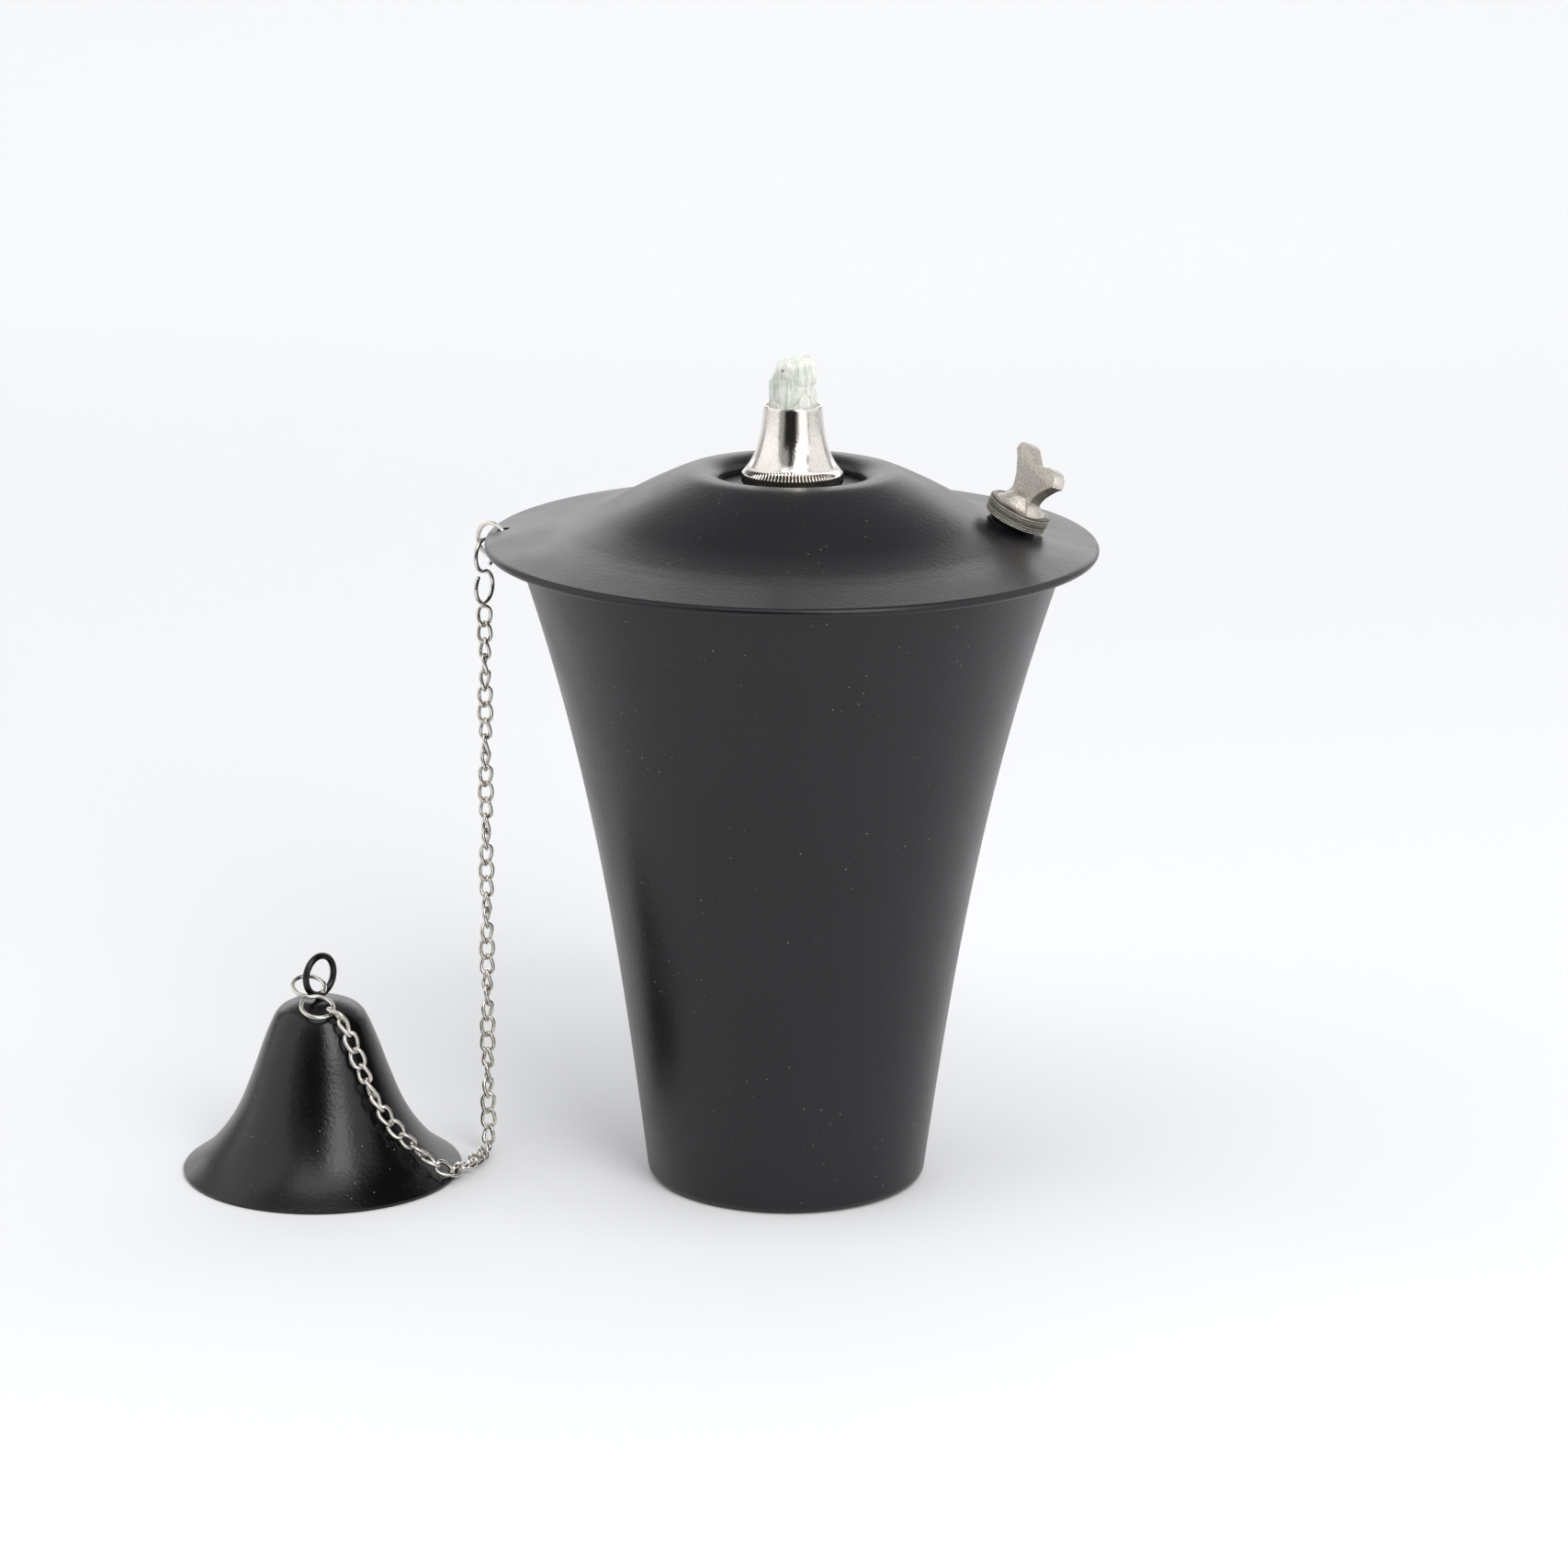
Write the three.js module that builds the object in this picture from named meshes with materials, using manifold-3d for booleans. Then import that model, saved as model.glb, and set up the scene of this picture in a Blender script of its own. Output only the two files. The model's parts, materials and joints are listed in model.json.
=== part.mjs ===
// Table-standing oil torch with a chained snuffer.
// Millimetres, +Z up. Origin: centre of the tank's base, on the surface it stands on. Front is -Y.
import * as THREE from 'three';
import { mergeVertices } from 'three/addons/utils/BufferGeometryUtils.js';
import Module from 'manifold-3d';

const wasm = await Module();
wasm.setup();

// ---- driving dimensions ----
const SEGMENTS = 48;              // facets round the large turned and pressed parts
const SMALL_SEGMENTS = 24;        // facets round the burner, the plug and the fittings

// tank
const baseRadius = 34.6;          // outer wall, carried down to the base
const mouthRadius = 67.9;         // outer wall where it meets the lid
const wallHeight = 162.4;         // base to the mouth
const wallSheet = 0.9;
const flareStraight = 0.62;       // share of the flare that is a plain cone; the rest curls out
const flarePower = 2.8;
const baseCorner = 2.6;           // radius of the turned-in bottom edge
const baseTurnIn = 3.4;           // how far the bottom edge reaches in
const flangeWidth = 1.6;          // turned-out top edge under the lid
const baseSheet = 0.9;

// lid
const lidSheet = 1.0;
const rimRadius = mouthRadius + 7.1;      // outside of the rolled rim
const brimInner = mouthRadius - 6.9;      // where the brim meets the crown
const beadRadius = 1.1;
const beadNeck = 1.6;             // sheet stops this far inside the bead's centre
const brimSlope = 0.185;          // fall of the brim per millimetre outwards
const crownHeight = 17.55;        // top of the crown above the bead's top
const crownRadius = 23.5;         // where the crown is level
// the crown falls to the brim in an S; each pair is a share of the width and of the drop
const crownShape = [[0, 0], [0.095, 0.04], [0.293, 0.26], [0.459, 0.475], [0.656, 0.74], [0.845, 0.91], [1, 1]];
const holeRadius = 17.8;
const lipDepth = 3.0;             // the lip rolls down this far into the hole
const lipTail = 0.6;              // straight part below the roll
const fittingGap = 0.3;           // clear space round the fittings that stand in the lid
const seamGap = 0.15;             // weld gap between lid and tank, and between welded rings

// burner
const wickRadius = 5.85;
const wickClearance = 0.15;
const wickTubeWall = 0.45;
const pressGap = 0.1;
const burnerLength = 19.1;        // cone and flange, above the gasket
const burnerTopWall = 0.55;
const flangeRadius = 12.4;
const flangeBevel = 0.25;
const flangeThickness = 2.5;
const burnerThreadRadius = 10.9;
const burnerThreadLength = 6.5;
const threadClearance = 0.15;
const collarWall = 1.8;
const collarPlate = 1.8;
const collarDepth = 12;
const gasketThickness = 0.6;
const gasketInset = 0.4;          // seal's edge inside the burner flange's edge
const wickTubeLength = 46;
const wickShow = 12.2;            // wick above the burner, at its highest edge
const wickSlant = 21 * Math.PI / 180;
const wickFloorGap = 12;          // wick's foot above the tank's bottom sheet
const tubeInset = 0.8;            // wick tube's top below the burner's top

// filler plug
const fillerRadius = mouthRadius - 13.9;  // its place on the lid, from the torch's axis
const fillerBearing = -2.6 * Math.PI / 180;
const fillerStand = 1.74;         // disc's underside above the crown, at its centre
const fillerTilt = 25 * Math.PI / 180;
const fillerTiltBearing = -13 * Math.PI / 180;
const discRadius = 7.9;
const discThickness = 4.1;
const hubBaseRadius = 6.2;
const hubTopRadius = 3.0;
const hubHeight = 3.1;
const wingTurn = -66 * Math.PI / 180;
const wingThickness = 3.0;
const wingReach = 11;
const wingHeight = 17.2;          // above the disc's underside
const wingRoot = 4.7;             // half the plate's width where it leaves the hub
const fillerThreadRadius = 4.4;
const fillerThreadLength = 8;
const bossWall = 1.4;
const bossLength = 7.5;
const fillerGasketWidth = 1.25;

// ring, hooks and chain
const ringRadius = 4.2;
const ringWire = 0.55;
const ringBearing = 145 * Math.PI / 180;  // the way the ring leans out from its hole
const ringDrop = 2.6;             // ring centre below the sheet that it hangs in
const ringHoleRadius = 1.6;
const ringHangOffset = 0.3;       // the ring hangs this far outside the hole's centre
const ringHoleInset = 3.8;        // hole centre to the rim's outside
const ringHoleBearing = 174.5 * Math.PI / 180;
const hookLoop = 4.0;             // mean radius of an S-hook's loops
const hookWire = 0.55;
const hookTurn = 63 * Math.PI / 180;      // bearing of the upper hook's plane
const hookSweep = 316;            // degrees of loop bent at each end of a hook
const hookInset = 2.4;            // upper hook's plane from the ring's centre, along the ring's lean
const hookLift = 0.2;             // upper hook's top below the ring's centre
const chainRadius = 1.9;
const chainGap = 0.35;

// snuffer
const bellRadius = 34.9;
const bellHeight = 44.8;
const bellSheet = 1.0;
const bellLip = 0.9;              // height of the rounded bottom edge
const snufferSide = 6.13;         // bell's edge to the upper hook, sideways
const snufferForward = 12.63;     // bell's axis in front of the upper hook
// the bell's flank; each pair is a share of its radius and of its height
const bellShape = [
  [0.837, 0.116], [0.699, 0.241], [0.590, 0.384], [0.493, 0.571], [0.413, 0.748],
  [0.341, 0.884], [0.292, 0.940], [0.235, 0.968], [0.166, 0.989],
];
const eyeRadius = 4.95;
const eyeWire = 0.85;
const eyeTurn = 52 * Math.PI / 180;
const eyeShankRadius = 1.2;
const eyeHoleRadius = 1.45;
const washerRadius = 3.6;
const washerThickness = 0.8;
const nutRadius = 2.9;
const nutHeight = 2.2;

// ---- helpers ----
const V2 = (x, y) => new THREE.Vector2(x, y);
const V3 = (x, y, z) => new THREE.Vector3(x, y, z);
const Z_UP = new THREE.Matrix4().makeRotationX(Math.PI / 2);

// A solid of revolution about Z from [radius, height] pairs; the outline is closed on itself.
function turned(outline, segments = SMALL_SEGMENTS) {
  const points = outline.map(([r, z]) => V2(r, z));
  if (THREE.ShapeUtils.isClockWise(points)) points.reverse();
  const onAxis = points.some((p) => p.x === 0);
  if (onAxis) {
    // start on the axis at the bottom, end on the axis at the top
    while (!(points[0].x === 0 && points[points.length - 1].x === 0)) points.push(points.shift());
  } else {
    points.push(points[0].clone());
  }
  return new THREE.LatheGeometry(points, segments).applyMatrix4(Z_UP);
}

// Points of a sheet's outline: the outer path, then the same path moved inwards by the sheet's thickness.
function sheet(path, thickness) {
  const inner = path.map((p, i) => {
    const a = path[Math.max(i - 1, 0)];
    const b = path[Math.min(i + 1, path.length - 1)];
    const along = V2(b[0] - a[0], b[1] - a[1]).normalize();
    return [p[0] - along.y * thickness, p[1] + along.x * thickness];
  });
  return [...path, ...inner.reverse()];
}

function arc(cx, cz, rx, rz, fromDegrees, toDegrees, steps) {
  return Array.from({ length: steps + 1 }, (_, i) => {
    const a = THREE.MathUtils.degToRad(fromDegrees + (toDegrees - fromDegrees) * i / steps);
    return [cx + rx * Math.cos(a), cz + rz * Math.sin(a)];
  });
}

function smooth(pairs, steps) {
  return new THREE.SplineCurve(pairs.map(([r, z]) => V2(r, z))).getPoints(steps).map((p) => [p.x, p.y]);
}

function solid(geometry) {
  const bare = geometry.clone();
  bare.deleteAttribute('normal');
  bare.deleteAttribute('uv');
  const merged = mergeVertices(bare, 1e-4);
  return new wasm.Manifold(new wasm.Mesh({
    numProp: 3,
    vertProperties: new Float32Array(merged.attributes.position.array),
    triVerts: new Uint32Array(merged.index.array),
  }));
}

function geometryOf(manifold) {
  const mesh = manifold.getMesh();
  const geometry = new THREE.BufferGeometry();
  geometry.setAttribute('position', new THREE.BufferAttribute(new Float32Array(mesh.vertProperties), 3));
  geometry.setIndex(new THREE.BufferAttribute(new Uint32Array(mesh.triVerts), 1));
  geometry.computeVertexNormals();
  return geometry;
}

const joined = (...parts) => geometryOf(parts.map(solid).reduce((a, b) => a.add(b)));
const cut = (body, ...tools) => geometryOf(tools.map(solid).reduce((a, b) => a.subtract(b), solid(body)));

// A cylinder that stands on z = bottom.
function rod(radius, bottom, top, segments = SMALL_SEGMENTS) {
  return new THREE.CylinderGeometry(radius, radius, top - bottom, segments)
    .applyMatrix4(Z_UP)
    .translate(0, 0, (bottom + top) / 2);
}

// A round wire or tube along a path, with flat ends.
function wire(path, radius, steps, sides = 8) {
  const section = new THREE.Shape(Array.from({ length: sides }, (_, i) => {
    const a = (i + 0.5) * 2 * Math.PI / sides;
    return V2(radius * Math.cos(a), radius * Math.sin(a));
  }));
  return new THREE.ExtrudeGeometry(section, { steps, extrudePath: path, bevelEnabled: false });
}

const paint = { color: 0x1b1b1e, roughness: 0.42, metalness: 0.0 };
const nickel = { color: 0xd6cdc4, roughness: 0.25, metalness: 1.0 };
const castZinc = { color: 0xa9a196, roughness: 0.5, metalness: 1.0 };
const steelWire = { color: 0xcfc9c0, roughness: 0.22, metalness: 1.0 };
const sealRubber = { color: 0x202020, roughness: 0.8, metalness: 0.0 };
const glassFibre = { color: 0xe4e6de, roughness: 0.85, metalness: 0.0 };

const torch = new THREE.Group();
function piece(name, geometry, look, parent = torch) {
  const mesh = new THREE.Mesh(geometry, new THREE.MeshStandardMaterial(look));
  mesh.name = name;
  parent.add(mesh);
  return mesh;
}

// ---- tank ----
const wallRadiusAt = (z) => {
  const t = z / wallHeight;
  return baseRadius + (mouthRadius - baseRadius) * (flareStraight * t + (1 - flareStraight) * t ** flarePower);
};
const brimTop = wallHeight + seamGap + lidSheet;                 // lid's upper face above the wall's mouth
const beadCentre = rimRadius - beadRadius;
const brimHeightAt = (r) => brimTop + brimSlope * (mouthRadius - r);

function tankBody() {
  const cornerTop = baseCorner * 1.02;
  const corner = arc(wallRadiusAt(cornerTop) - baseCorner, baseCorner, baseCorner, baseCorner, -90, -4, 3);
  const wallSteps = 9;
  const wall = Array.from({ length: wallSteps }, (_, i) => {
    const z = THREE.MathUtils.lerp(cornerTop + 2, wallHeight - 1.2, i / (wallSteps - 1));
    return [wallRadiusAt(z), z];
  });
  const flangeEdge = mouthRadius + flangeWidth;
  const underLid = (r) => brimHeightAt(r) - lidSheet - seamGap;
  const outer = [[baseRadius - baseTurnIn, 0], ...corner, ...wall];
  const body = sheet(outer, wallSheet);
  const inside = body.slice(outer.length).map(([r, z]) => [r, z]);
  // the bottom edge stays level, and the top edge turns out under the lid
  inside[inside.length - 1] = [baseRadius - baseTurnIn, wallSheet];
  inside[0] = [mouthRadius - wallSheet, underLid(mouthRadius - wallSheet)];
  const flange = [
    [mouthRadius + 0.3, underLid(mouthRadius) - wallSheet],
    [flangeEdge, underLid(flangeEdge) - wallSheet],
    [flangeEdge, underLid(flangeEdge)],
  ];
  return turned([...outer, ...flange, ...inside], SEGMENTS);
}

function tankBase() {
  const inner = baseRadius - baseTurnIn - seamGap;
  const step = wallSheet + 0.05;
  const outer = wallRadiusAt(baseCorner) - baseCorner - pressGap;
  return turned([
    [0, 0], [inner, 0], [inner, step], [outer, step], [outer, step + baseSheet],
    [inner - baseSheet, step + baseSheet], [inner - baseSheet, baseSheet], [0, baseSheet],
  ], SEGMENTS);
}

// ---- lid ----
const beadHeight = brimHeightAt(beadCentre) - beadRadius;
const crownTop = beadHeight + beadRadius + crownHeight;
const lipBottom = crownTop - lipDepth;

const crown = crownShape.map(([across, down]) => [
  THREE.MathUtils.lerp(crownRadius, brimInner, across),
  THREE.MathUtils.lerp(crownTop, brimHeightAt(brimInner), down),
]);
// Height of the crown's upper face at a radius.
function crownHeightAt(r) {
  const outer = crown.findIndex((p) => p[0] >= r);
  const [a, b] = [crown[outer - 1], crown[outer]];
  return THREE.MathUtils.mapLinear(r, a[0], b[0], a[1], b[1]);
}

function lidBlank() {
  const brimEdge = beadCentre - beadNeck;
  const lip = arc(crownRadius, lipBottom, crownRadius - holeRadius, lipDepth, 180, 97, 4);
  const top = [
    [holeRadius, lipBottom - lipTail], ...lip, ...smooth(crown, 9), [brimEdge, brimHeightAt(brimEdge)],
  ];
  const bead = arc(beadCentre, beadHeight, beadRadius, beadRadius, 80, -150, 5);
  const under = sheet([...top].reverse(), lidSheet).slice(top.length);
  under[0] = [holeRadius + lidSheet, lipBottom - lipTail];
  under[under.length - 1] = [brimEdge, brimHeightAt(brimEdge) - lidSheet];
  return turned([...top, ...bead, ...under.reverse()], SEGMENTS);
}

// ---- filler plug frame ----
const fillerFrame = new THREE.Group();
fillerFrame.position.set(
  fillerRadius * Math.cos(fillerBearing), fillerRadius * Math.sin(fillerBearing),
  crownHeightAt(fillerRadius) + fillerStand);
fillerFrame.quaternion
  .setFromAxisAngle(V3(-Math.sin(fillerTiltBearing), Math.cos(fillerTiltBearing), 0), fillerTilt);
fillerFrame.updateMatrixWorld(true);
torch.add(fillerFrame);

const bossBore = fillerThreadRadius + threadClearance;
const bossRadius = bossBore + bossWall;
const bossTop = -gasketThickness - fittingGap;

// ---- ring's place ----
const ringHoleRadiusFromAxis = rimRadius - ringHoleInset;
const ringHole = V2(Math.cos(ringHoleBearing), Math.sin(ringHoleBearing));
const ringHoleHeight = brimHeightAt(ringHoleRadiusFromAxis);

function lid() {
  const fillerCut = rod(bossRadius + fittingGap, -12, 6).applyMatrix4(fillerFrame.matrixWorld);
  const chainCut = rod(ringHoleRadius, -4, 4, 16)
    .translate(ringHole.x * ringHoleRadiusFromAxis, ringHole.y * ringHoleRadiusFromAxis, ringHoleHeight);
  return cut(lidBlank(), fillerCut, chainCut);
}

// ---- burner ----
const collarTop = lipBottom - lipTail - seamGap;
const flangeSeat = collarTop + gasketThickness;
const burnerTop = flangeSeat + burnerLength;
const tubeBore = wickRadius + wickClearance;
const tubeRadius = tubeBore + wickTubeWall;
const burnerBore = tubeRadius + pressGap;
const collarBore = burnerThreadRadius + threadClearance;

function burnerCollar() {
  const neck = collarBore + collarWall;
  const plateEdge = holeRadius + lidSheet + 1;
  return turned([
    [collarBore, collarTop], [plateEdge, collarTop], [plateEdge, collarTop - collarPlate],
    [neck, collarTop - collarPlate], [neck, collarTop - collarDepth], [collarBore, collarTop - collarDepth],
  ]);
}

function burnerGasket() {
  return turned([
    [collarBore, collarTop], [flangeRadius - gasketInset, collarTop],
    [flangeRadius - gasketInset, flangeSeat], [collarBore, flangeSeat],
  ]);
}

function burnerCone() {
  const shoulder = flangeSeat + flangeThickness;
  const rimOuter = burnerBore + burnerTopWall;
  // the waist draws in like a trumpet bell; pairs are shares of the width left and of the height
  const waist = [[0.86, 0.06], [0.50, 0.24], [0.25, 0.46], [0.115, 0.68], [0, 1]];
  const side = smooth([[flangeRadius - flangeBevel, shoulder], ...waist.map(([wide, up]) => [
    rimOuter + (flangeRadius - flangeBevel - rimOuter) * wide, shoulder + (burnerTop - shoulder) * up,
  ])], 8);
  return turned([
    [burnerThreadRadius, flangeSeat - burnerThreadLength], [burnerThreadRadius, flangeSeat],
    [flangeRadius, flangeSeat], [flangeRadius, shoulder - flangeBevel],
    ...side, [burnerBore, burnerTop], [burnerBore, flangeSeat - burnerThreadLength],
  ], 24);
}

function wickTube() {
  const top = burnerTop - tubeInset;
  const bottom = top - wickTubeLength;
  return turned([[tubeBore, bottom], [tubeRadius, bottom], [tubeRadius, top], [tubeBore, top]], 24);
}

function wick() {
  const top = burnerTop + wickShow;
  const blank = turned([
    [0, baseSheet + wickFloorGap], [wickRadius, baseSheet + wickFloorGap],
    [wickRadius, top - 1.6], [wickRadius - 1.2, top - 0.3], [0, top],
  ], 24);
  const slice = new THREE.BoxGeometry(40, 40, 20)
    .translate(0, 0, 10)
    .rotateY(-wickSlant)
    .translate(wickRadius - 1.6, 0, top + 0.4);
  return cut(blank, slice);
}

// ---- filler plug ----
function fillerBoss() {
  return turned([
    [bossBore, bossTop], [bossRadius, bossTop],
    [bossRadius, bossTop - bossLength], [bossBore, bossTop - bossLength],
  ]);
}

function fillerGasket() {
  const bottom = -gasketThickness;
  return turned([
    [bossBore, bottom], [bossBore + fillerGasketWidth, bottom],
    [bossBore + fillerGasketWidth, 0], [bossBore, 0],
  ]);
}

function wingScrew() {
  const seat = 0.3;
  const hubTop = discThickness + hubHeight;
  const turnedPart = turned([
    [0, -fillerThreadLength], [fillerThreadRadius, -fillerThreadLength], [fillerThreadRadius, seat],
    [discRadius, seat], [discRadius, discThickness - 0.5], [discRadius - 0.5, discThickness],
    [hubBaseRadius, discThickness], [hubTopRadius, hubTop], [0, hubTop],
  ]);
  // half outline of the wing plate, from the disc up to the notch on the axis
  const half = [
    [wingRoot, discThickness - 1], [wingRoot, 6.4], [7.4, 10.9], [wingReach, wingHeight - 3],
    [wingReach - 0.7, wingHeight - 1.1], [wingReach - 2.6, wingHeight], [6, wingHeight],
    [1.6, wingHeight - 2.2],
  ];
  const outline = [...half, ...half.map(([x, z]) => [-x, z]).reverse()].map(([x, z]) => V2(x, z));
  const plate = new THREE.ExtrudeGeometry(new THREE.Shape(outline), { depth: wingThickness, bevelEnabled: false })
    .translate(0, 0, -wingThickness / 2)
    .applyMatrix4(Z_UP)
    .rotateZ(wingTurn);
  return joined(turnedPart, plate);
}

// ---- ring and S-hooks ----
const ringLean = V3(Math.cos(ringBearing), Math.sin(ringBearing), 0);
const ringHang = V3(ringHole.x, ringHole.y, 0).multiplyScalar(ringHoleRadiusFromAxis + ringHangOffset);
const ringCentre = ringHang.clone()
  .addScaledVector(ringLean, Math.sqrt(ringRadius ** 2 - ringDrop ** 2))
  .setZ(ringHoleHeight - lidSheet / 2 - ringDrop);

function rimRing() {
  return new THREE.TorusGeometry(ringRadius, ringWire, 8, 28)
    .applyMatrix4(Z_UP)
    .rotateZ(ringBearing)
    .translate(ringCentre.x, ringCentre.y, ringCentre.z);
}

// An S of two loops round a centre; across and along are unit directions in the hook's plane.
function sHook(centre, across, along) {
  const count = 13;
  const points = [];
  for (let i = 0; i <= count; i += 1) {
    const a = THREE.MathUtils.degToRad(270 - hookSweep + hookSweep * i / count);
    points.push([hookLoop * Math.cos(a), hookLoop + hookLoop * Math.sin(a)]);
  }
  for (let i = 1; i <= count; i += 1) {
    const a = THREE.MathUtils.degToRad(90 - hookSweep * i / count);
    points.push([hookLoop * Math.cos(a), -hookLoop + hookLoop * Math.sin(a)]);
  }
  const path = new THREE.CatmullRomCurve3(points.map(([u, v]) => centre.clone()
    .addScaledVector(across, u).addScaledVector(along, v)));
  return wire(path, hookWire, 36);
}

const hookTop = ringCentre.z - hookLift;
const upperHook = ringCentre.clone().addScaledVector(ringLean, hookInset).setZ(hookTop - 2 * hookLoop);

const snufferX = upperHook.x - bellRadius - snufferSide;
const snufferY = upperHook.y - snufferForward;
const lowerHookFront = V3(snufferX, snufferY - 8.3, bellHeight + 0.4);
const lowerHookBack = V3(snufferX - 2.5, snufferY - 2.0, bellHeight + 3.4);
const lowerHookAlong = lowerHookBack.clone().sub(lowerHookFront).normalize();
const lowerHookAcross = V3(lowerHookAlong.y, -lowerHookAlong.x, 0).normalize();
const lowerHook = lowerHookFront.clone().add(lowerHookBack).multiplyScalar(0.5);

// ---- chain ----
// The chain's middle line: down from the upper hook, along the surface, and up the bell to the lower hook.
const chainTop = hookTop - 4 * hookLoop - hookWire - chainGap;
const chainFloor = chainRadius + 0.1;
// under the upper hook: offsets from the hook, and the height
const chainDrop = [
  [0, 0, chainTop], [0, 0, chainTop * 0.77], [0, 0, chainTop * 0.49], [0, 0, chainTop * 0.25],
  [0, 0, 16], [0.1, -0.1, 9], [0.1, -0.7, chainFloor + 2.6], [-0.1, -2.6, chainFloor + 0.4],
  [-0.7, -5.5, chainFloor], [-1.7, -9.0, chainFloor], [-2.9, -12.2, chainFloor],
];
// against the bell: shares of its radius from its axis, and of its height
const chainLean = [
  [1.085, -0.001, 0], [1.052, -0.089, 0.002], [1.017, -0.203, 0.016], [0.960, -0.315, 0.031],
  [0.880, -0.370, 0.065], [0.785, -0.378, 0.116], [0.693, -0.387, 0.183], [0.610, -0.401, 0.252],
  [0.527, -0.410, 0.335], [0.458, -0.410, 0.422], [0.395, -0.407, 0.513], [0.341, -0.398, 0.612],
  [0.292, -0.381, 0.710], [0.249, -0.358, 0.801], [0.203, -0.335, 0.877], [0.158, -0.309, 0.926],
];
const chainHangingRoute = chainDrop.map(([x, y, z]) => V3(upperHook.x + x, upperHook.y + y, z));
const chainRestingRoute = chainLean.map(([x, y, z]) =>
  V3(snufferX + bellRadius * x, snufferY + bellRadius * y, chainFloor + bellHeight * z));
const chainPath = (route) => new THREE.CatmullRomCurve3(route, false, 'centripetal');

// ---- snuffer ----
const snuffer = new THREE.Group();
snuffer.position.set(snufferX, snufferY, 0);
torch.add(snuffer);

function snufferCap() {
  const flank = smooth([
    [bellRadius, bellLip], ...bellShape.map(([wide, up]) => [bellRadius * wide, bellHeight * up]),
    [washerRadius + 0.6, bellHeight - 0.1], [eyeHoleRadius, bellHeight],
  ], 13);
  const body = sheet(flank, bellSheet);
  // the sheet ends level at the eye's hole and comes to a rounded edge at the bottom
  body[flank.length] = [eyeHoleRadius, bellHeight - bellSheet];
  body[body.length - 1] = [bellRadius - 0.55, 0];
  return turned(body, SEGMENTS);
}

const underBell = bellHeight - bellSheet - 2 * seamGap;
function snufferEye() {
  const ring = new THREE.TorusGeometry(eyeRadius, eyeWire, 8, 26)
    .applyMatrix4(Z_UP)
    .rotateZ(eyeTurn)
    .translate(0, 0, bellHeight + seamGap + eyeWire + eyeRadius);
  const shank = rod(eyeShankRadius, underBell - washerThickness - nutHeight - 1, bellHeight + 1.4, 16);
  return joined(ring, shank);
}

const ringOf = (inner, outer, bottom, top, segments) =>
  turned([[inner, bottom], [outer, bottom], [outer, top], [inner, top]], segments);
const washerBottom = underBell - washerThickness;

function eyeNut() {
  const corner = (i) => V2(Math.cos(i * Math.PI / 3), Math.sin(i * Math.PI / 3)).multiplyScalar(nutRadius);
  const outline = new THREE.Shape([0, 1, 2, 3, 4, 5].map(corner));
  outline.holes.push(new THREE.Path().absarc(0, 0, eyeShankRadius + pressGap, 0, 2 * Math.PI, true));
  return new THREE.ExtrudeGeometry(outline, { depth: nutHeight, bevelEnabled: false, curveSegments: 8 })
    .translate(0, 0, washerBottom - pressGap - nutHeight);
}

// ---- assembly ----
piece('tank_body', tankBody(), paint);
piece('tank_base', tankBase(), paint);
piece('lid', lid(), paint);
piece('burner_collar', burnerCollar(), paint);
piece('burner_gasket', burnerGasket(), sealRubber);
piece('burner_cone', burnerCone(), nickel);
piece('wick_tube', wickTube(), nickel);
piece('wick', wick(), glassFibre);
piece('filler_boss', fillerBoss(), paint, fillerFrame);
piece('filler_gasket', fillerGasket(), sealRubber, fillerFrame);
piece('wing_screw', wingScrew(), castZinc, fillerFrame);
piece('rim_ring', rimRing(), steelWire);
piece('upper_s_hook', sHook(upperHook, V3(Math.cos(hookTurn), Math.sin(hookTurn), 0), V3(0, 0, 1)), steelWire);
piece('chain_hanging', wire(chainPath(chainHangingRoute), chainRadius, 22), steelWire);
piece('chain_resting', wire(chainPath(chainRestingRoute), chainRadius, 20), steelWire);
piece('lower_s_hook', sHook(lowerHook, lowerHookAcross, lowerHookAlong), steelWire);
piece('snuffer_cap', snufferCap(), paint, snuffer);
piece('snuffer_eye', snufferEye(), paint, snuffer);
piece('eye_washer', ringOf(eyeHoleRadius, washerRadius, washerBottom, underBell, 20), steelWire, snuffer);
piece('eye_nut', eyeNut(), steelWire, snuffer);

export default torch;
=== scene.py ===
import json
import math

import bmesh
import bpy
import numpy as np
from mathutils import Matrix, Vector, noise


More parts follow.
